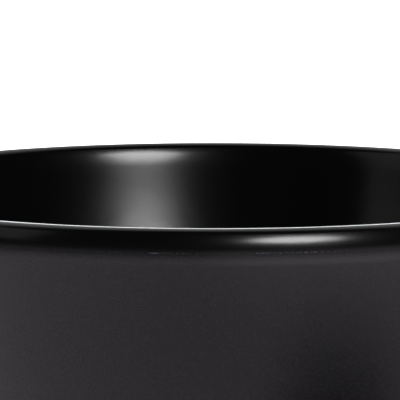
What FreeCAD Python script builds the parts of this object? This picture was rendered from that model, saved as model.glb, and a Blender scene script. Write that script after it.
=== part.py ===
"""Empty candle jar: a tapered glass tumbler with a satin lacquer lining and a matt lacquer outside.

Millimetres, +Z up, origin on the jar's axis at the level it stands on. Every piece is a body of
revolution about Z, so each one is a single sketch in the XZ plane, where x is the distance from the axis
and y is the height. The sketches' sizes are bound to the cells of the sheet "Sizes".
"""

import FreeCAD, Part

import math
import os
import re

import Sketcher

# Driving dimensions of the finished, lacquered jar: alias, value, what it is. Angles are in degrees.
SIZES = (
    ("outer_radius", 40.0, "at the widest line, just under the lip"),
    ("height", 90.0, "from the table to the top of the lip"),
    ("outer_angle", 8.5, "outer wall's lean from upright"),
    ("inner_angle", 11.0, "inner wall's lean from upright, below its curved top"),
    ("coat_thickness", 0.15, "either lacquer coat"),
    ("crown_radius", 0.85, "arc along the top of the lip"),
    ("outer_flank_radius", 4.6, "arc of the lip's outer side, from the crown to the widest line"),
    ("shoulder_radius", 9.0, "arc from the widest line down to the straight outer wall"),
    ("widest_drop", 2.2, "from the top of the lip down to the widest line, where the coats meet"),
    ("inner_flank_radius", 6.0, "arc of the lip's inner side, from the crown down"),
    ("inner_flank_start", 19.0, "lean of the lip's inner side where that arc starts"),
    ("inner_flank_end", 12.0, "lean where that arc ends"),
    ("inner_blend_radius", 20.0, "gentler arc below it"),
    ("rim_angle", 8.5, "lean where that arc ends: the steepest line of the inner side"),
    ("bowl_radius", 200.0, "hollow arc from there down to the straight inner wall"),
    ("floor_height", 10.0, "from the table to the inside floor"),
    ("floor_corner_radius", 7.0, "rounded corner between the inside floor and the inner wall"),
    ("heel_radius", 5.0, "rounded outer edge of the glass base"),
    ("ring_inner_radius", 19.0, "inner edge of the flat ring that the jar stands on"),
    ("punt_depth", 1.2, "hollow under the middle of the base"),
    ("coat_end_height", 0.8, "where the outer coat stops, on the heel"),
)
# Heights of the arcs' centres, which follow from the sizes: alias, formula, whose centre it is.
CENTRES = (
    ("widest_z", "height - widest_drop", "outer flank and shoulder"),
    ("crown_z", "height - crown_radius", "crown"),
    (
        "inner_flank_z",
        "crown_z - (inner_flank_radius - crown_radius) * sin(inner_flank_start * 1 deg)",
        "inner flank",
    ),
    (
        "inner_blend_z",
        "inner_flank_z - (inner_blend_radius - inner_flank_radius) * sin(inner_flank_end * 1 deg)",
        "inner blend",
    ),
    (
        "bowl_z",
        "inner_blend_z + (inner_blend_radius + bowl_radius) * sin(rim_angle * 1 deg)",
        "hollow arc",
    ),
)
ALIASES = [row[0] for row in SIZES + CENTRES]
SHEET = "Sizes"

# Points of a sketch element, and the sketch's own origin and axes, as constraints number them.
START, END, CENTRE = 1, 2, 3
ORIGIN = (-1, 1)
HORIZONTAL_AXIS, VERTICAL_AXIS = -1, -2


def make_sheet(document):
    """The spreadsheet that drives the model, with one aliased cell for each size and centre height."""
    sheet = document.addObject("Spreadsheet::Sheet", SHEET)
    cells = [(alias, str(value), note) for alias, value, note in SIZES]
    cells += [(alias, "=" + formula, note) for alias, formula, note in CENTRES]
    for row, (alias, content, note) in enumerate(cells, start=1):
        sheet.set(f"A{row}", alias)
        sheet.set(f"B{row}", content)
        sheet.setAlias(f"B{row}", alias)
        sheet.set(f"C{row}", note)
    document.recompute()
    return sheet


def of_sheet(expression):
    """The same expression with each cell's alias qualified by the sheet's name."""
    return re.sub(rf"\b({'|'.join(ALIASES)})\b", SHEET + r".\1", expression)


def polar(centre, distance, angle):
    """The point at this distance from centre, at this angle from the direction away from the axis."""
    return centre[0] + distance * math.cos(angle), centre[1] + distance * math.sin(angle)


class Jar:
    """First-guess geometry, worked out from the sheet, for drawing the sketches near their solution.

    inset is how far a surface lies inside the finished one: 0, or the coat's thickness for the glass.
    """

    def __init__(self, sheet):
        for alias in ALIASES:
            setattr(self, alias, float(sheet.get(alias)))
        self.outer_lean = math.radians(self.outer_angle)
        self.inner_lean = math.radians(self.inner_angle)
        self.set_lip_centres()
        self.set_wall_centres()
        heel_top = polar(self.shoulder_centre, self.shoulder_radius, -self.outer_lean)
        self.heel_centre = self.foot_centre(
            heel_top, self.outer_lean, -self.heel_radius - self.coat_thickness, self.heel_radius
        )
        self.corner_centre = self.foot_centre(
            polar(self.bowl_centre, self.bowl_radius, -self.inner_lean),
            self.inner_lean,
            -self.floor_corner_radius,
            self.floor_height + self.floor_corner_radius,
        )

    def set_lip_centres(self):
        """The crown touches the outer flank from inside, and the inner flank touches the crown."""
        self.flank_centre = (self.outer_radius - self.outer_flank_radius, self.widest_z)
        apart = self.outer_flank_radius - self.crown_radius
        rise = self.crown_z - self.widest_z
        self.crown_centre = (
            self.flank_centre[0] + math.sqrt(apart**2 - rise**2),
            self.crown_z,
        )
        self.crown_start = math.atan2(rise, math.sqrt(apart**2 - rise**2))
        self.crown_end = math.pi - math.radians(self.inner_flank_start)
        self.inner_flank_centre = polar(
            self.crown_centre, self.crown_radius - self.inner_flank_radius, self.crown_end
        )

    def set_wall_centres(self):
        """The arcs between the lip and the straight walls."""
        self.shoulder_centre = (self.outer_radius - self.shoulder_radius, self.widest_z)
        self.blend_start = math.pi - math.radians(self.inner_flank_end)
        self.blend_end = math.pi - math.radians(self.rim_angle)
        self.blend_centre = polar(
            self.inner_flank_centre,
            self.inner_flank_radius - self.inner_blend_radius,
            self.blend_start,
        )
        self.bowl_centre = polar(
            self.blend_centre, self.inner_blend_radius + self.bowl_radius, self.blend_end
        )

    def foot_centre(self, wall_top, lean, outward, height):
        """Centre, at this height, of the arc that ends a straight wall below wall_top."""
        x, z = polar(wall_top, outward, -lean)
        return x - (z - height) * math.tan(lean), height


class Outline:
    """A closed chain of lines and arcs in a sketch, drawn near its final place and then constrained."""

    def __init__(self, sketch, jar, x, z):
        self.sketch = sketch
        self.jar = jar
        self.here = (x, z)
        self.first = None
        self.last = None

    def constrain(self, kind, *arguments):
        return self.sketch.addConstraint(Sketcher.Constraint(kind, *arguments))

    def dimension(self, name, expression, kind, *arguments):
        """A dimensional constraint whose value is an expression of the sheet's cells."""
        expression = of_sheet(expression)
        value = self.sketch.evalExpression(expression)
        plain = value.getValueAs("rad") if kind == "Angle" else value
        index = self.constrain(kind, *arguments, float(plain))
        self.sketch.renameConstraint(index, name)
        self.sketch.setExpression("Constraints." + name, expression)

    def fix_x(self, name, point, expression):
        self.dimension(name, expression, "DistanceX", *ORIGIN, *point)

    def fix_z(self, name, point, expression):
        self.dimension(name, expression, "DistanceY", *ORIGIN, *point)

    def join(self, element, start, end, smooth):
        if self.last is None:
            self.first = (element, start)
        else:
            self.constrain("Tangent" if smooth else "Coincident", *self.last, element, start)
        self.last = (element, end)
        return element

    def line_to(self, x, z, smooth=False):
        """Adds a line from here to (x, z), tangent to the element before it if smooth."""
        line = Part.LineSegment(FreeCAD.Vector(*self.here, 0), FreeCAD.Vector(x, z, 0))
        self.here = (x, z)
        return self.join(self.sketch.addGeometry(line), START, END, smooth)

    def arc_to(self, x, z, centre, clockwise=False, smooth=True):
        """Adds an arc from here to (x, z) about centre. A sketch's own arcs all run anticlockwise."""
        ends = (self.here, (x, z))
        angles = [math.atan2(end[1] - centre[1], end[0] - centre[0]) for end in ends]
        if clockwise:
            angles.reverse()
        up = FreeCAD.Vector(0, 0, 1)
        circle = Part.Circle(FreeCAD.Vector(*centre, 0), up, math.dist(self.here, centre))
        arc = self.sketch.addGeometry(Part.ArcOfCircle(circle, *angles))
        self.here = (x, z)
        start, end = (END, START) if clockwise else (START, END)
        return self.join(arc, start, end, smooth)

    def close(self):
        self.constrain("Coincident", *self.last, *self.first)


def thinner(inset):
    """The end of an expression for a size that the coat's thickness makes smaller under the coat."""
    return " - coat_thickness" if inset else ""


def thicker(inset):
    """The end of an expression for a size that the coat's thickness makes larger under the coat."""
    return " + coat_thickness" if inset else ""


def fix_lip(outline, outer, crown, inner, inset, tag):
    """Fixes the lip's three arcs. The elements beside them fix where the chain starts and ends."""
    outline.dimension(
        "crown_radius" + tag, "crown_radius" + thinner(inset), "Radius", crown
    )
    outline.dimension(
        "outer_flank_radius" + tag, "outer_flank_radius" + thinner(inset), "Radius", outer
    )
    outline.dimension(
        "inner_flank_radius" + tag, "inner_flank_radius" + thinner(inset), "Radius", inner
    )
    outline.fix_z("crown_z" + tag, (crown, CENTRE), "crown_z")
    outline.fix_x("outer_flank_x" + tag, (outer, CENTRE), "outer_radius - outer_flank_radius")
    outline.fix_z("outer_flank_z" + tag, (outer, CENTRE), "widest_z")
    outline.fix_z("inner_flank_z" + tag, (inner, CENTRE), "inner_flank_z")


def lip_inward(outline, jar, inset, tag, smooth):
    """The lip from the widest line to the end of its inner flank. Returns the outer flank's arc."""
    radius = jar.outer_flank_radius - inset
    end = polar(jar.flank_centre, radius, jar.crown_start)
    outer = outline.arc_to(*end, jar.flank_centre, smooth=smooth)
    end = polar(jar.crown_centre, jar.crown_radius - inset, jar.crown_end)
    crown = outline.arc_to(*end, jar.crown_centre)
    end = polar(jar.inner_flank_centre, jar.inner_flank_radius - inset, jar.blend_start)
    inner = outline.arc_to(*end, jar.inner_flank_centre)
    fix_lip(outline, outer, crown, inner, inset, tag)
    return outer


def lip_outward(outline, jar, inset, tag):
    """The same from the inner flank to the widest line."""
    end = polar(jar.crown_centre, jar.crown_radius - inset, jar.crown_end)
    inner = outline.arc_to(*end, jar.inner_flank_centre, clockwise=True)
    end = polar(jar.flank_centre, jar.outer_flank_radius - inset, jar.crown_start)
    crown = outline.arc_to(*end, jar.crown_centre, clockwise=True)
    end = (jar.outer_radius - inset, jar.widest_z)
    outer = outline.arc_to(*end, jar.flank_centre, clockwise=True)
    fix_lip(outline, outer, crown, inner, inset, tag)
    return outer


def fix_inside(outline, blend, bowl, corner, floor_end, inset, tag):
    """Fixes the inner wall's arcs, the floor corner and the floor. The wall's lean is fixed apart."""
    outline.dimension(
        "inner_blend_radius" + tag, "inner_blend_radius" + thinner(inset), "Radius", blend
    )
    outline.dimension("bowl_radius" + tag, "bowl_radius" + thicker(inset), "Radius", bowl)
    outline.dimension(
        "floor_corner_radius" + tag, "floor_corner_radius" + thicker(inset), "Radius", corner
    )
    outline.fix_z("inner_blend_z" + tag, (blend, CENTRE), "inner_blend_z")
    outline.fix_z("bowl_z" + tag, (bowl, CENTRE), "bowl_z")
    outline.fix_z("floor_height" + tag, floor_end, "floor_height" + thinner(inset))
    outline.constrain("PointOnObject", *floor_end, VERTICAL_AXIS)


def inside_downward(outline, jar, inset, tag):
    """From the lip's inner flank down the inner wall and along the floor to the axis."""
    end = polar(jar.blend_centre, jar.inner_blend_radius - inset, jar.blend_end)
    blend = outline.arc_to(*end, jar.blend_centre)
    end = polar(jar.bowl_centre, jar.bowl_radius + inset, -jar.inner_lean)
    bowl = outline.arc_to(*end, jar.bowl_centre, clockwise=True)
    end = polar(jar.corner_centre, jar.floor_corner_radius + inset, -jar.inner_lean)
    wall = outline.line_to(*end, smooth=True)
    level = jar.floor_height - inset
    corner = outline.arc_to(
        jar.corner_centre[0], level, jar.corner_centre, clockwise=True
    )
    floor = outline.line_to(0, level, smooth=True)
    outline.constrain("Horizontal", floor)
    fix_inside(outline, blend, bowl, corner, (floor, END), inset, tag)
    return wall


def inside_upward(outline, jar, inset, tag):
    """The same from the axis up to the lip's inner flank."""
    level = jar.floor_height - inset
    floor = outline.line_to(jar.corner_centre[0], level)
    end = polar(jar.corner_centre, jar.floor_corner_radius + inset, -jar.inner_lean)
    corner = outline.arc_to(*end, jar.corner_centre)
    end = polar(jar.bowl_centre, jar.bowl_radius + inset, -jar.inner_lean)
    wall = outline.line_to(*end, smooth=True)
    end = polar(jar.blend_centre, jar.inner_blend_radius - inset, jar.blend_end)
    bowl = outline.arc_to(*end, jar.bowl_centre)
    end = polar(jar.inner_flank_centre, jar.inner_flank_radius - inset, jar.blend_start)
    blend = outline.arc_to(*end, jar.blend_centre, clockwise=True)
    outline.constrain("Horizontal", floor)
    fix_inside(outline, blend, bowl, corner, (floor, START), inset, tag)
    return wall


def fix_lean(outline, wall, name, size, upward):
    """Leans a wall out from the axis by that size, whichever way it is drawn."""
    turned = "90 deg" if upward else "-90 deg"
    outline.dimension(name, f"{turned} - {size} * 1 deg", "Angle", wall)


def start_outline(document, jar, name, label, x, z):
    """A new body with a sketch on its own XZ plane, and an outline in it that starts at (x, z)."""
    body = document.addObject("PartDesign::Body", name)
    body.Label = label
    body.Placement = FreeCAD.Placement()
    plane = next(f for f in body.Origin.OriginFeatures if f.Role == "XZ_Plane")
    sketch = body.newObject("Sketcher::SketchObject", name + "Profile")
    sketch.AttachmentSupport = [(plane, "")]
    sketch.MapMode = "FlatFace"
    return body, Outline(sketch, jar, x, z)


def revolve(body, outline):
    """One full turn of the outline about Z."""
    outline.close()
    turned = body.newObject("PartDesign::Revolution", body.Name + "Turned")
    turned.Profile = outline.sketch
    turned.ReferenceAxis = (outline.sketch, ["V_Axis"])
    turned.Angle = 360.0
    body.Tip = turned
    return body


def make_glass_body(document, jar):
    """The tumbler: punt, bearing ring, heel, outer wall, lip, inner wall, floor corner and floor."""
    coat = jar.coat_thickness
    body, outline = start_outline(
        document, jar, "GlassBody", "glass_body", 0, jar.punt_depth
    )
    punt_radius = (jar.ring_inner_radius**2 + jar.punt_depth**2) / (2 * jar.punt_depth)
    punt_centre = (0, jar.punt_depth - punt_radius)
    punt = outline.arc_to(jar.ring_inner_radius, 0, punt_centre, clockwise=True)
    ring = outline.line_to(jar.heel_centre[0], 0)
    end = polar(jar.heel_centre, jar.heel_radius, -jar.outer_lean)
    heel = outline.arc_to(*end, jar.heel_centre)
    end = polar(jar.shoulder_centre, jar.shoulder_radius - coat, -jar.outer_lean)
    wall = outline.line_to(*end, smooth=True)
    shoulder = outline.arc_to(jar.outer_radius - coat, jar.widest_z, jar.shoulder_centre)
    lip_inward(outline, jar, coat, "", smooth=True)
    inner_wall = inside_downward(outline, jar, coat, "")
    outline.line_to(0, jar.punt_depth)
    outline.constrain("PointOnObject", punt, CENTRE, VERTICAL_AXIS)
    outline.constrain("PointOnObject", punt, END, VERTICAL_AXIS)
    outline.constrain("PointOnObject", punt, START, HORIZONTAL_AXIS)
    outline.constrain("Horizontal", ring)
    outline.fix_z("punt_depth", (punt, END), "punt_depth")
    outline.fix_x("ring_inner_radius", (punt, START), "ring_inner_radius")
    outline.dimension("heel_radius", "heel_radius", "Radius", heel)
    outline.dimension(
        "shoulder_radius", "shoulder_radius - coat_thickness", "Radius", shoulder
    )
    outline.fix_z("shoulder_z", (shoulder, CENTRE), "widest_z")
    fix_lean(outline, wall, "outer_angle", "outer_angle", upward=True)
    fix_lean(outline, inner_wall, "inner_angle", "inner_angle", upward=False)
    return revolve(body, outline)


def make_inner_coating(document, jar):
    """The satin lining: floor, corner and wall, then over the lip as far as the widest line."""
    coat = jar.coat_thickness
    under_floor = jar.floor_height - coat
    body, outline = start_outline(
        document, jar, "InnerCoating", "inner_coating", 0, under_floor
    )
    glass_wall = inside_upward(outline, jar, coat, "_on_glass")
    glass_flank = lip_outward(outline, jar, coat, "_on_glass")
    outline.line_to(jar.outer_radius, jar.widest_z)
    finished_flank = lip_inward(outline, jar, 0, "", smooth=False)
    finished_wall = inside_downward(outline, jar, 0, "")
    outline.line_to(0, under_floor)
    for flank in (glass_flank, finished_flank):
        outline.constrain("Horizontal", flank, CENTRE, flank, START)
    fix_lean(outline, glass_wall, "inner_angle", "inner_angle", upward=True)
    outline.constrain("Parallel", glass_wall, finished_wall)
    return revolve(body, outline)


def make_outer_coating(document, jar):
    """The matt coat: from the widest line down the outer wall and part of the way round the heel."""
    coat = jar.coat_thickness
    end_angle = math.asin((jar.coat_end_height - jar.heel_radius) / jar.heel_radius)
    body, outline = start_outline(
        document, jar, "OuterCoating", "outer_coating", jar.outer_radius, jar.widest_z
    )
    top = outline.line_to(jar.outer_radius - coat, jar.widest_z)
    end = polar(jar.shoulder_centre, jar.shoulder_radius - coat, -jar.outer_lean)
    glass_shoulder = outline.arc_to(*end, jar.shoulder_centre, clockwise=True, smooth=False)
    end = polar(jar.heel_centre, jar.heel_radius, -jar.outer_lean)
    glass_wall = outline.line_to(*end, smooth=True)
    end = polar(jar.heel_centre, jar.heel_radius, end_angle)
    glass_heel = outline.arc_to(*end, jar.heel_centre, clockwise=True)
    edge = outline.line_to(*polar(jar.heel_centre, jar.heel_radius + coat, end_angle))
    end = polar(jar.heel_centre, jar.heel_radius + coat, -jar.outer_lean)
    coat_heel = outline.arc_to(*end, jar.heel_centre, smooth=False)
    end = polar(jar.shoulder_centre, jar.shoulder_radius, -jar.outer_lean)
    coat_wall = outline.line_to(*end, smooth=True)
    coat_shoulder = outline.arc_to(jar.outer_radius, jar.widest_z, jar.shoulder_centre)
    outline.dimension("shoulder_radius", "shoulder_radius", "Radius", coat_shoulder)
    outline.fix_x("shoulder_x", (coat_shoulder, CENTRE), "outer_radius - shoulder_radius")
    outline.fix_z("shoulder_z", (coat_shoulder, CENTRE), "widest_z")
    outline.dimension(
        "shoulder_radius_on_glass", "shoulder_radius - coat_thickness", "Radius", glass_shoulder
    )
    outline.constrain("Horizontal", top)
    outline.constrain("Horizontal", coat_shoulder, CENTRE, coat_shoulder, END)
    outline.constrain("Coincident", glass_shoulder, CENTRE, coat_shoulder, CENTRE)
    outline.constrain("Coincident", glass_heel, CENTRE, coat_heel, CENTRE)
    outline.constrain("PointOnObject", glass_heel, CENTRE, edge)
    outline.dimension("heel_radius_on_glass", "heel_radius", "Radius", glass_heel)
    outline.fix_z("heel_z", (glass_heel, CENTRE), "heel_radius")
    outline.fix_z("coat_end_height", (edge, START), "coat_end_height")
    fix_lean(outline, coat_wall, "outer_angle", "outer_angle", upward=True)
    outline.constrain("Parallel", coat_wall, glass_wall)
    return revolve(body, outline)


def check(document, bodies):
    """Stops if an object failed, a sketch is still free to move or a piece isn't one closed solid."""
    for item in document.Objects:
        if {"Invalid", "Error"} & set(item.State):
            raise RuntimeError(f"{item.Label} failed: {item.State}")
        if item.TypeId == "Sketcher::SketchObject" and not item.FullyConstrained:
            raise RuntimeError(f"{item.Label} isn't fully constrained")
    for body in bodies:
        shape = body.Shape
        if shape.isNull() or not shape.isValid() or len(shape.Solids) != 1:
            raise RuntimeError(f"{body.Label} isn't one valid solid")


def main():
    document = FreeCAD.newDocument("candle_jar")
    jar = Jar(make_sheet(document))
    bodies = [
        make_glass_body(document, jar),
        make_inner_coating(document, jar),
        make_outer_coating(document, jar),
    ]
    document.recompute()
    check(document, bodies)
    os.makedirs("parts", exist_ok=True)
    for body in bodies:
        body.Shape.exportStep(f"parts/{body.Label}.step")
        print(f"{body.Label}: {body.Shape.Volume / 1000:.3f} cm3")


main()
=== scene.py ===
"""Looks of the empty candle jar: satin black lining, matt black outside and bare glass underneath.

Metres, in the CAD frame: +Z up, the jar's axis on Z, standing on Z = 0, the camera on the -Y side.
"""

import math
import random

import bpy
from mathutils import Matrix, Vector


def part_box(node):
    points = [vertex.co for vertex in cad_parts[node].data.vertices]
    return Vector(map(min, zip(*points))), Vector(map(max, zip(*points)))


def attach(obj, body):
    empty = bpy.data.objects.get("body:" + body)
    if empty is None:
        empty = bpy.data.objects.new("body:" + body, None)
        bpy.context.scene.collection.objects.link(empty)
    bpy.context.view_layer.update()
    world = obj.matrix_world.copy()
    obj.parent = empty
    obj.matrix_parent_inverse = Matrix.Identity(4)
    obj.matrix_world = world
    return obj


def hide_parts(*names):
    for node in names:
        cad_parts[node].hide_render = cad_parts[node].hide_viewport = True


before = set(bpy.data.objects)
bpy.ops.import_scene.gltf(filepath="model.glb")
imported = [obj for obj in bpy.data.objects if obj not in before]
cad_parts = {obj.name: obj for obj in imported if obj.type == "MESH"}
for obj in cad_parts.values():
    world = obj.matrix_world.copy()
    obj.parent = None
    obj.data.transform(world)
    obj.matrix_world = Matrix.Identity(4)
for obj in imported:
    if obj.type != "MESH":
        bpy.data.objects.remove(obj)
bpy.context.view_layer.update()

MM = 0.001
MICRON = 0.001 * MM
WHITE = (1.0, 1.0, 1.0, 1.0)
SEGMENTS = 256
SHARP_ANGLE = math.radians(35.0)
LONGEST_STEP = 1.5 * MM
AXIS_TOLERANCE = 0.001 * MICRON
FLOOR_REACH = 40.0

# The jar's own sizes, as its CAD source gives them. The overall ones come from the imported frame.
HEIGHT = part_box("inner_coating")[1].z
OUTER_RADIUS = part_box("inner_coating")[1].x
COAT = 0.15 * MM
OUTER_ANGLE = math.radians(8.5)
FLANK_ANGLE = math.radians(12.0)
RIM_ANGLE = math.radians(8.5)
INNER_ANGLE = math.radians(11.0)
CROWN_RADIUS = 0.85 * MM
OUTER_FLANK_RADIUS = 4.6 * MM
SHOULDER_RADIUS = 9.0 * MM
INNER_FLANK_RADIUS = 6.0 * MM
INNER_BLEND_RADIUS = 20.0 * MM
BOWL_RADIUS = 200.0 * MM
WIDEST_DROP = 2.2 * MM
INNER_MEET_ANGLE = math.radians(19.0)
FLOOR_HEIGHT = 10.0 * MM
FLOOR_CORNER_RADIUS = 7.0 * MM
HEEL_RADIUS = 5.0 * MM
RING_INNER_RADIUS = 19.0 * MM
PUNT_DEPTH = 1.2 * MM
COAT_END_HEIGHT = 0.8 * MM

# The outer coat thins out at the paint line, where it was masked.
EDGE_THINNING = 0.008 * MM
EDGE_WIDTH = 0.4 * MM


# ---------------------------------------------------------------------------------------- profile


def polar(centre, radius, angle):
    """The point at that radius and angle from the centre."""
    return centre[0] + radius * math.cos(angle), centre[1] + radius * math.sin(angle)


def arc(centre, radius, start, end, step=math.radians(2.0)):
    """Points on an arc from angle start to angle end, both included."""
    count = max(3, math.ceil(abs(end - start) / min(step, LONGEST_STEP / radius)))
    return [polar(centre, radius, start + (end - start) * i / count) for i in range(count + 1)]


def line(start, end):
    """Points along a straight stretch, both ends included."""
    count = max(1, math.ceil(math.dist(start, end) / LONGEST_STEP))
    return [
        tuple(a + (b - a) * i / count for a, b in zip(start, end))
        for i in range(count + 1)
    ]


def bearing(start, end):
    """Angle of the line from start to end."""
    return math.atan2(end[1] - start[1], end[0] - start[0])


WIDEST_Z = HEIGHT - WIDEST_DROP
OUTER_CENTRE = (OUTER_RADIUS - OUTER_FLANK_RADIUS, WIDEST_Z)
SHOULDER_CENTRE = (OUTER_RADIUS - SHOULDER_RADIUS, WIDEST_Z)
CROWN_Z = HEIGHT - CROWN_RADIUS
CROWN_CENTRE = (
    OUTER_CENTRE[0]
    + math.sqrt((OUTER_FLANK_RADIUS - CROWN_RADIUS) ** 2 - (CROWN_Z - WIDEST_Z) ** 2),
    CROWN_Z,
)
OUTER_MEET = bearing(OUTER_CENTRE, CROWN_CENTRE)
INNER_MEET = math.pi - INNER_MEET_ANGLE
INNER_CENTRE = polar(CROWN_CENTRE, CROWN_RADIUS - INNER_FLANK_RADIUS, INNER_MEET)
BLEND_CENTRE = polar(INNER_CENTRE, INNER_FLANK_RADIUS - INNER_BLEND_RADIUS, math.pi - FLANK_ANGLE)
SPRING = polar(BLEND_CENTRE, INNER_BLEND_RADIUS, math.pi - RIM_ANGLE)
BOWL_CENTRE = polar(SPRING, BOWL_RADIUS, math.pi - RIM_ANGLE)


def rounded_foot(spring, angle, radius, height):
    """Centre, at that height, of an arc that touches the wall through spring from the axis's side."""
    x, z = polar(spring, -radius, -angle)
    return x - (z - height) * math.tan(angle), height


SHOULDER_END = polar(SHOULDER_CENTRE, SHOULDER_RADIUS - COAT, -OUTER_ANGLE)
HEEL_CENTRE = rounded_foot(SHOULDER_END, OUTER_ANGLE, HEEL_RADIUS, HEEL_RADIUS)
BOWL_END = polar(BOWL_CENTRE, BOWL_RADIUS, -INNER_ANGLE)
CORNER_HEIGHT = FLOOR_HEIGHT + FLOOR_CORNER_RADIUS
CORNER_CENTRE = rounded_foot(BOWL_END, INNER_ANGLE, FLOOR_CORNER_RADIUS, CORNER_HEIGHT)


def lip(inset):
    """The lip from its widest line, over the crown and down to the inner wall."""
    return (
        arc(OUTER_CENTRE, OUTER_FLANK_RADIUS - inset, 0, OUTER_MEET)
        + arc(CROWN_CENTRE, CROWN_RADIUS - inset, OUTER_MEET, INNER_MEET)[1:]
        + arc(INNER_CENTRE, INNER_FLANK_RADIUS - inset, INNER_MEET, math.pi - FLANK_ANGLE)[1:]
        + arc(BLEND_CENTRE, INNER_BLEND_RADIUS - inset, math.pi - FLANK_ANGLE, math.pi - RIM_ANGLE)[1:]
    )


def inside(inset):
    """The inner wall, the rounded corner and the floor, from just under the lip to the axis."""
    bowl = arc(BOWL_CENTRE, BOWL_RADIUS + inset, -RIM_ANGLE, -INNER_ANGLE)
    corner = arc(CORNER_CENTRE, FLOOR_CORNER_RADIUS + inset, -INNER_ANGLE, -math.pi / 2)
    floor = line(corner[-1], (0, corner[-1][1]))
    return bowl[1:] + line(bowl[-1], corner[0])[1:-1] + corner + floor[1:]


def band(first, second):
    """Faces between two rows of a lathed mesh, given each row's first vertex."""
    return [
        (first + i, first + (i + 1) % SEGMENTS, second + (i + 1) % SEGMENTS, second + i)
        for i in range(SEGMENTS)
    ]


def add_object(name, vertices, faces, material):
    """A smooth-shaded mesh object in the scene, with one material."""
    mesh = bpy.data.meshes.new(name)
    mesh.from_pydata(vertices, [], faces)
    mesh.polygons.foreach_set("use_smooth", [True] * len(faces))
    mesh.materials.append(material)
    mesh.validate()
    mesh.update()
    made = bpy.data.objects.new(name, mesh)
    bpy.context.scene.collection.objects.link(made)
    return made


def lathe(name, outline, material):
    """A closed solid of revolution, from a ring's outline or one that begins and ends on the axis."""
    ring = outline[0][0] > AXIS_TOLERANCE
    points = outline if ring else outline[1:-1]
    turns = [2 * math.pi * i / SEGMENTS for i in range(SEGMENTS)]
    vertices = [(r * math.cos(a), r * math.sin(a), z) for r, z in points for a in turns]
    rows = [row * SEGMENTS for row in range(len(points))]
    if ring:
        rows.append(0)
    faces = [face for first, second in zip(rows, rows[1:]) for face in band(first, second)]
    if not ring:
        poles = len(vertices), len(vertices) + 1
        vertices += [(0, 0, outline[0][1]), (0, 0, outline[-1][1])]
        for i in range(SEGMENTS):
            j = (i + 1) % SEGMENTS
            faces.append((poles[0], j, i))
            faces.append((poles[1], rows[-1] + i, rows[-1] + j))
    made = add_object(name, vertices, faces, material)
    made.data.set_sharp_from_angle(angle=SHARP_ANGLE)
    return made


def outer_wall(inset, heel_start):
    """The heel from angle heel_start, the outer wall and the shoulder up to the widest line."""
    heel = arc(HEEL_CENTRE, HEEL_RADIUS + COAT - inset, heel_start, -OUTER_ANGLE)
    shoulder = arc(SHOULDER_CENTRE, SHOULDER_RADIUS - inset, -OUTER_ANGLE, 0, math.radians(0.4))
    return heel + line(heel[-1], shoulder[0])[1:-1] + shoulder


def glass_outline():
    """The punt, the bearing ring, the outside, the lip and the inside, all under the coats."""
    radius = (RING_INNER_RADIUS**2 + PUNT_DEPTH**2) / (2 * PUNT_DEPTH)
    centre = (0, PUNT_DEPTH - radius)
    edge = bearing(centre, (RING_INNER_RADIUS, 0))
    punt = arc(centre, radius, math.pi / 2, edge, math.radians(0.5))
    outside = outer_wall(COAT, -math.pi / 2)
    return punt + line(punt[-1], outside[0])[1:-1] + outside + lip(COAT)[1:] + inside(COAT)


def lining_outline():
    """The lining's back, from the floor up and over the lip, and its face back down again."""
    return (lip(COAT) + inside(COAT))[::-1] + lip(0) + inside(0)


def thinned(point):
    """A point of the coat's face, moved in by as much as the coat is thinner there."""
    r, z = point
    t = min(1.0, (WIDEST_Z - z) / EDGE_WIDTH)
    return r - EDGE_THINNING * (1 - t * t * (3 - 2 * t)), z


def coat_outline():
    """The outer coat's face, from its end at the heel up to the paint line, and its back down again."""
    end = math.asin((COAT_END_HEIGHT - HEEL_RADIUS) / HEEL_RADIUS)
    return [thinned(point) for point in outer_wall(0, end)] + outer_wall(COAT, end)[::-1]


# -------------------------------------------------------------------------------------- materials


class Nodes:
    """A node tree and short ways to add to it."""

    def __init__(self, tree):
        self.tree = tree

    def set(self, node, values):
        """Gives each named input its value, with a link where that is a node's output."""
        for key, value in values.items():
            if isinstance(value, bpy.types.NodeSocket):
                self.tree.links.new(value, node.inputs[key])
            else:
                node.inputs[key].default_value = value

    def add(self, kind, values=None, **properties):
        """A new node of that kind, with its inputs' values and its properties."""
        node = self.tree.nodes.new("ShaderNode" + kind)
        for key, value in properties.items():
            setattr(node, key, value)
        self.set(node, values or {})
        return node

    def ramp(self, value, start, end, low, high):
        """Runs smoothly from low to high as the value goes from start to end."""
        values = {"Value": value, "From Min": start, "From Max": end, "To Min": low, "To Max": high}
        return self.add("MapRange", values, interpolation_type="SMOOTHSTEP").outputs["Result"]

    def maths(self, operation, a, b):
        """What a Math node makes of the two values."""
        return self.add("Math", {0: a, 1: b}, operation=operation).outputs[0]

    def split(self, vector):
        """The vector's parts, by the names X, Y and Z."""
        return self.add("SeparateXYZ", {0: vector}).outputs

    def camera_only(self, value):
        """The value for what the camera sees directly, and 0 for every other ray."""
        return self.maths("MULTIPLY", self.add("LightPath").outputs["Is Camera Ray"], value)


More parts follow.
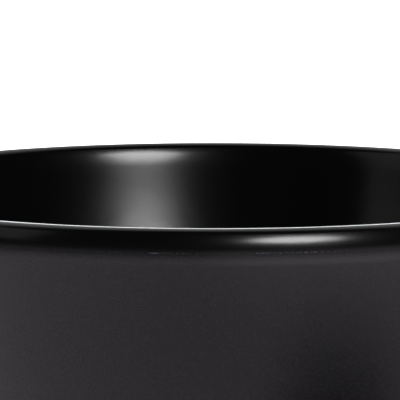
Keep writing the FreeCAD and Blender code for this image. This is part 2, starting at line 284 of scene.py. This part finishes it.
class Paint(Nodes):
    """A material's nodes, with its Principled shader and the object's own coordinates.

    The colour and roughness are the shader's plain values, used where no node is linked to it.
    """

    def __init__(self, name, colour, roughness):
        self.material = bpy.data.materials.new(name)
        self.material.use_nodes = True
        super().__init__(self.material.node_tree)
        self.shader = self.tree.nodes["Principled BSDF"]
        self.place = self.add("TexCoord").outputs["Object"]
        self.set(self.shader, {"Base Color": colour, "Roughness": roughness})

    def noise(self, size, detail, offset=(0, 0, 0)):
        """Noise from 0 to 1 whose blotches are about this large, and rougher for more detail."""
        moved = self.add("Mapping", {"Vector": self.place, "Location": offset})
        values = {"Vector": moved.outputs[0], "Scale": 1 / size, "Detail": detail}
        return self.add("TexNoise", values).outputs[0]

    def mix(self, factor, a, b):
        """From colour a to colour b, which are a Mix node's inputs 6 and 7."""
        return self.add("Mix", {0: factor, 6: a, 7: b}, data_type="RGBA").outputs[2]

    def height(self):
        """The height above the floor that the jar stands on."""
        return self.split(self.place)["Z"]

    def dust(self, cell, radius, share):
        """1 on specks of about this radius, in that share of cells, and 0 elsewhere."""
        found = self.add("TexVoronoi", {"Vector": self.place, "Scale": 1 / cell})
        speck = self.ramp(found.outputs["Distance"], 0.6 * radius / cell, radius / cell, 1.0, 0.0)
        chosen = self.add("SeparateColor", {0: found.outputs["Color"]}).outputs[0]
        return self.maths("MULTIPLY", speck, self.maths("LESS_THAN", chosen, share))

    def bump(self, *layers):
        """Adds relief, one layer on another, each a height from 0 to 1 and what 1 stands for."""
        normal = None
        for height, distance in layers:
            values = {"Height": height, "Distance": distance, "Strength": 1.0}
            if normal:
                values["Normal"] = normal
            normal = self.add("Bump", values).outputs[0]
        self.set(self.shader, {"Normal": normal})


def satin():
    """Satin lacquer: a very fine grain over a faint orange peel, with handling marks and dust."""
    black = (0.004, 0.004, 0.0042, 1)
    lint = (0.09, 0.09, 0.095, 1)
    paint = Paint("satin_lacquer", black, 0.19)
    dust = paint.dust(4 * MM, 0.055 * MM, 0.35)
    smears = paint.ramp(paint.noise(9 * MM, 3.0), 0.3, 0.75, 0.172, 0.19)
    on_lip = paint.ramp(paint.height(), HEIGHT - 3.5 * MM, HEIGHT - 1.5 * MM, 0.0, 0.015)
    roughness = paint.maths("ADD", smears, on_lip)
    paint.set(paint.shader, {
        "Base Color": paint.mix(dust, black, lint),
        "Roughness": paint.maths("ADD", roughness, paint.maths("MULTIPLY", dust, 0.4)),
    })
    orange_peel = paint.noise(1.6 * MM, 1.0)
    grain = paint.noise(0.22 * MM, 1.0)
    paint.bump((orange_peel, 4 * MICRON), (grain, 0.6 * MICRON), (dust, 8 * MICRON))
    return paint.material


def matt():
    """Matt lacquer: a faint violet cast that drifts, a fine tooth, and rubbed marks near the heel."""
    violet = (0.0064, 0.0048, 0.006, 1)
    blue = (0.0038, 0.0044, 0.0076, 1)
    flake = (0.0172, 0.0157, 0.0188, 1)
    lint = (0.08, 0.078, 0.085, 1)
    paint = Paint("matt_lacquer", violet, 0.15)
    shifted = (10 * MM, 20 * MM, 5 * MM)
    drift = paint.ramp(paint.noise(16 * MM, 1.0, shifted), 0.35, 0.65, 0.0, 1.0)
    tooth = paint.noise(0.16 * MM, 1.0)
    flaked = paint.mix(paint.ramp(tooth, 0.35, 0.75, 0.0, 1.0), paint.mix(drift, violet, blue), flake)
    dust = paint.dust(6 * MM, 0.05 * MM, 0.3)
    low_down = paint.ramp(paint.height(), 4 * MM, 16 * MM, 1.0, 0.0)
    marks = paint.ramp(paint.noise(5 * MM, 5.0), 0.5, 0.68, 0.0, 1.0)
    rubbed = paint.maths("MULTIPLY", low_down, marks)
    patches = paint.ramp(paint.noise(7 * MM, 3.0), 0.3, 0.7, 0.14, 0.16)
    roughness = paint.maths("SUBTRACT", patches, paint.maths("MULTIPLY", rubbed, 0.06))
    paint.set(paint.shader, {
        "Base Color": paint.mix(dust, flaked, lint),
        "Roughness": paint.maths("ADD", roughness, paint.maths("MULTIPLY", dust, 0.3)),
        "Specular Tint": (0.98, 0.905, 1.0, 1),
        "Specular IOR Level": 0.52,
    })
    waves = paint.noise(2.5 * MM, 1.0)
    paint.bump((waves, 4 * MICRON), (tooth, 2.2 * MICRON))
    return paint.material


def fleck_paint_and_glint():
    """The thin raised edge of the lining where the outer coat was masked, seen only in places. Its
    lavender-grey colour, far lighter than the black lining, is a painted glint; its raised shape also
    catches real glints.
    """
    dark = (0.09, 0.08, 0.11, 1)
    light = (0.24, 0.21, 0.28, 1)
    paint = Paint("paint_edge", dark, 0.4)
    # The painted glint varies at random between the two colours and is a little glossier where it is
    # lighter.
    painted_glint_tone = paint.ramp(paint.noise(0.3 * MM, 1.0), 0.35, 0.65, 0.0, 1.0)
    paint.set(paint.shader, {
        "Base Color": paint.mix(painted_glint_tone, dark, light),
        "Roughness": paint.ramp(painted_glint_tone, 0.0, 1.0, 0.45, 0.3),
    })
    return paint.material


def glass():
    """Clear pressed glass, faintly green, with a stippled bearing ring and a wavy punt."""
    green = (0.89, 0.945, 0.925, 1)
    clear = (0.92, 0.96, 0.945, 1)
    polished = 0.03
    paint = Paint("clear_glass", green, polished)
    at_foot = paint.ramp(paint.height(), 0.05 * MM, 0.4 * MM, 1.0, 0.0)
    tint = paint.ramp(paint.noise(20 * MM, 1.0), 0.3, 0.7, 0.0, 1.0)
    scuffs = paint.ramp(paint.noise(0.5 * MM, 3.0), 0.4, 0.65, 0.03, 0.35)
    paint.set(paint.shader, {
        "Base Color": paint.mix(tint, green, clear),
        "Roughness": paint.maths("ADD", polished, paint.maths("MULTIPLY", at_foot, scuffs)),
        "Transmission Weight": 1.0,
        "IOR": 1.52,
    })
    waves = paint.noise(6 * MM, 1.0)
    stipple = paint.maths("MULTIPLY", at_foot, paint.noise(0.8 * MM, 1.0))
    paint.bump((waves, 20 * MICRON), (stipple, 150 * MICRON))
    return paint.material


def pale_floor():
    """Pale floor with a painted pool of light: it glows away from the jar, as a lit sweep does, and
    whites out behind it.
    """
    paint = Paint("pale_floor", (0.8, 0.8, 0.8, 1), 0.9)
    away = paint.add("VectorMath", {0: paint.place}, operation="LENGTH").outputs["Value"]
    place = paint.split(paint.place)

    # A painted pool of light: the glow starts away from the jar, so the floor close to it stays dark
    # like a shadow's end. It is strongest at the front right and dies away further out.
    start = paint.ramp(away, 0.2, 0.28, 0.0, 1.0)
    fall = paint.ramp(away, 0.26, 0.42, 0.0, -0.52)
    far_fall = paint.ramp(away, 0.8, 1.8, 0.0, -0.45)
    more_right = paint.ramp(place["X"], -0.05, 0.1, 0.4, 0.92)
    less_behind = paint.ramp(place["Y"], -0.22, -0.12, 1.0, 0.6)
    white_out = paint.ramp(place["Y"], 0.25, 0.85, 0.0, 1.6)
    painted_light_pool = paint.maths("ADD", paint.maths("ADD", start, fall), far_fall)
    painted_light_pool = paint.maths("MULTIPLY", paint.maths("MULTIPLY", painted_light_pool, more_right), less_behind)

    # A painted fill that only the camera sees. It lightens the jar's shadow and the far floor, and the
    # jar does not mirror it.
    fill = paint.camera_only(paint.ramp(away, 0.1, 0.9, 0.3, 1.0))
    paint.set(paint.shader, {
        "Specular IOR Level": 0.1,
        "Emission Color": WHITE,
        "Emission Strength": paint.maths("ADD", paint.maths("ADD", painted_light_pool, white_out), fill),
    })
    return paint.material


# ----------------------------------------------------------------------------------------- pieces


def fleck(azimuth, length, height, rings=8, sides=8):
    """Vertices and faces of one raised fleck of lacquer that lies along the paint line."""
    vertices = []
    for i in range(1, rings):
        along = math.pi * i / rings
        swell = math.sin(along) * random.uniform(0.7, 1.0)
        turn = math.radians(azimuth) + 0.5 * length * math.cos(along) / OUTER_RADIUS
        for k in range(sides):
            around = 2 * math.pi * k / sides

            # It stays a little inside the lip's radius and a little under the widest line.
            r = OUTER_RADIUS - EDGE_THINNING * (1 - 0.95 * swell * math.cos(around))
            z = WIDEST_Z - 0.55 * height + 0.5 * height * swell * math.sin(around)
            vertices.append((r * math.sin(turn), -r * math.cos(turn), z))
    faces = [tuple(range(sides)), tuple(range(len(vertices) - 1, len(vertices) - sides - 1, -1))]
    for row in range(0, len(vertices) - sides, sides):
        for k in range(sides):
            j = (k + 1) % sides
            faces.append((row + j, row + k, row + sides + k, row + sides + j))
    return vertices, faces


def fleck_run(start, end, dash):
    """Azimuth and length of a dash where the run starts and of the dots that thin out after it."""
    at = start + math.degrees(0.5 * dash / OUTER_RADIUS)
    flecks = [(at, dash)]
    at += math.degrees(0.5 * dash / OUTER_RADIUS)
    while at < end:
        sparser = (at - start) / (end - start)
        at += random.uniform(0.2, 0.45 + 0.9 * sparser)
        flecks.append((at, random.uniform(0.05, 0.3 - 0.18 * sparser) * MM))
    return flecks


def add_paint_edge():
    """Places where the lining's masked edge stands up, in broken runs round the paint line."""
    random.seed(11)

    # Where a run starts and ends, in degrees to the camera's right, and how long its dash is.
    runs = [(-8.8, -1.2, 1.3 * MM), (5.8, 18.5, 0.5 * MM)]

    # The sides and the back have runs at random.
    at, last = 34.0, 325.0
    while at < last:
        span = random.uniform(4.0, 14.0)
        runs.append((at, at + span, random.uniform(0.3, 1.2) * MM))
        at += span + random.uniform(6.0, 40.0)
    vertices, faces = [], []
    for run in runs:
        for azimuth, length in fleck_run(*run):
            points, sides = fleck(azimuth, length, random.uniform(0.06, 0.1) * MM)
            faces += [tuple(len(vertices) + i for i in side) for side in sides]
            vertices += points
    piece = add_object("paint_edge", vertices, faces, fleck_paint_and_glint())
    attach(piece, "root")


def add_piece(name, outline, material, node):
    """A lathed piece that stands for a CAD node."""
    piece = lathe(name, outline, material)
    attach(piece, "root")
    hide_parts(node)


# ------------------------------------------------------------------------------------------ stage


def add_floor():
    """A flat square floor that reaches far beyond the jar."""
    s = FLOOR_REACH
    corners = [(-s, -s, 0), (s, -s, 0), (s, s, 0), (-s, s, 0)]
    floor = add_object("studio_floor", corners, [(0, 1, 2, 3)], pale_floor())


def add_world():
    """White behind the jar and overhead, dark on the camera's side, and all white to the camera.

    Surfaces mirror it, and it gives no diffuse light.
    """
    world = bpy.data.worlds.new("studio")
    bpy.context.scene.world = world
    world.use_nodes = True
    world.cycles_visibility.diffuse = False
    sky = Nodes(world.node_tree)
    towards = sky.split(sky.add("TexCoord").outputs["Generated"])
    behind = sky.ramp(towards["Y"], -0.1, 0.35, 0.0, 1.0)
    low_down = sky.ramp(towards["Z"], 0.4, 0.7, 1.0, 0.02)
    backdrop = sky.maths("MULTIPLY", behind, low_down)
    not_in_front = sky.ramp(towards["Y"], -0.25, 0.5, 0.0, 1.0)
    high_up = sky.ramp(towards["Z"], 0.45, 0.75, 0.0, 1.0)
    ceiling = sky.maths("MULTIPLY", not_in_front, high_up)
    dim_backdrop = sky.maths("ADD", sky.maths("MULTIPLY", backdrop, 0.4), 0.03)
    strength = sky.maths("ADD", dim_backdrop, ceiling)
    sky.set(world.node_tree.nodes["Background"], {
        "Color": WHITE,
        "Strength": sky.maths("MAXIMUM", strength, sky.camera_only(1.05)),
    })


def add_light(
    name, azimuth, elevation, distance, size, radiance, diffuse=True, glossy=True, shape="RECTANGLE"
):
    """An area light aimed at the mouth. Azimuth is to the camera's right, as seen from the jar.

    The two sizes are the angles that the light fills there, in degrees. The distance is in metres.
    With diffuse off it gives no diffuse light, and with glossy off nothing mirrors it.
    """
    light = bpy.data.lights.new(name, "AREA")
    light.shape = shape
    light.size, light.size_y = [2 * distance * math.tan(math.radians(angle) / 2) for angle in size]
    filled = math.pi / 4 if shape == "ELLIPSE" else 1.0
    light.energy = radiance * math.pi * light.size * light.size_y * filled
    panel = bpy.data.objects.new(name, light)
    bpy.context.scene.collection.objects.link(panel)
    a, e = math.radians(azimuth), math.radians(elevation)
    back = Vector((math.sin(a) * math.cos(e), -math.cos(a) * math.cos(e), math.sin(e)))
    panel.location = Vector((0, 0, HEIGHT)) + back * distance
    panel.rotation_mode = "QUATERNION"
    panel.rotation_quaternion = back.to_track_quat("Z", "Y")
    panel.visible_camera = False
    panel.visible_diffuse = diffuse
    panel.visible_glossy = glossy
    return light


def add_lights():
    """Three panels that the coats mirror, and two lamps that light surfaces without being mirrored."""
    add_light(
        "key", azimuth=24.4, elevation=20.4, distance=1.0, size=(24, 13.5), radiance=15.0,
        diffuse=False, shape="ELLIPSE",
    )
    add_light(
        "key_spill", azimuth=50, elevation=25, distance=0.5, size=(23, 13.5), radiance=3.0, glossy=False
    )
    add_light(
        "left_fill", azimuth=-85, elevation=22, distance=0.8, size=(60, 26), radiance=0.3, diffuse=False
    )
    add_light(
        "left_back", azimuth=-142, elevation=31, distance=0.33, size=(13, 6.5), radiance=345.0,
        glossy=False,
    )
    back_panel = add_light(
        "back_panel", azimuth=-170, elevation=14, distance=1.0, size=(80, 32), radiance=4.1,
        diffuse=False,
    )
    back_panel.color = (0.92, 0.945, 1.0)


def add_camera():
    """The photograph's viewpoint: a long lens close to the mouth, looking slightly down on it."""
    data = bpy.data.cameras.new("camera")
    data.lens = 344.8
    data.sensor_width = 36.0
    data.clip_start = 0.01
    data.clip_end = 100.0
    camera = bpy.data.objects.new("camera", data)
    bpy.context.scene.collection.objects.link(camera)
    elevation = math.radians(6.561)
    distance = 400 * MM
    camera.location = (0, -distance * math.cos(elevation), HEIGHT + distance * math.sin(elevation))
    aim_left, aim_drop = 1.326 * MM, 1.955 * MM
    aim = Vector((-aim_left, 0, HEIGHT - aim_drop))
    camera.rotation_mode = "QUATERNION"
    camera.rotation_quaternion = (camera.location - aim).to_track_quat("Z", "Y")
    bpy.context.scene.camera = camera


add_camera()
add_piece("glass_tumbler", glass_outline(), glass(), "glass_body")
add_piece("satin_lining", lining_outline(), satin(), "inner_coating")
add_piece("matt_coat", coat_outline(), matt(), "outer_coating")
add_paint_edge()
add_floor()
add_world()
add_lights()
bpy.context.scene.view_settings.view_transform = "Standard"
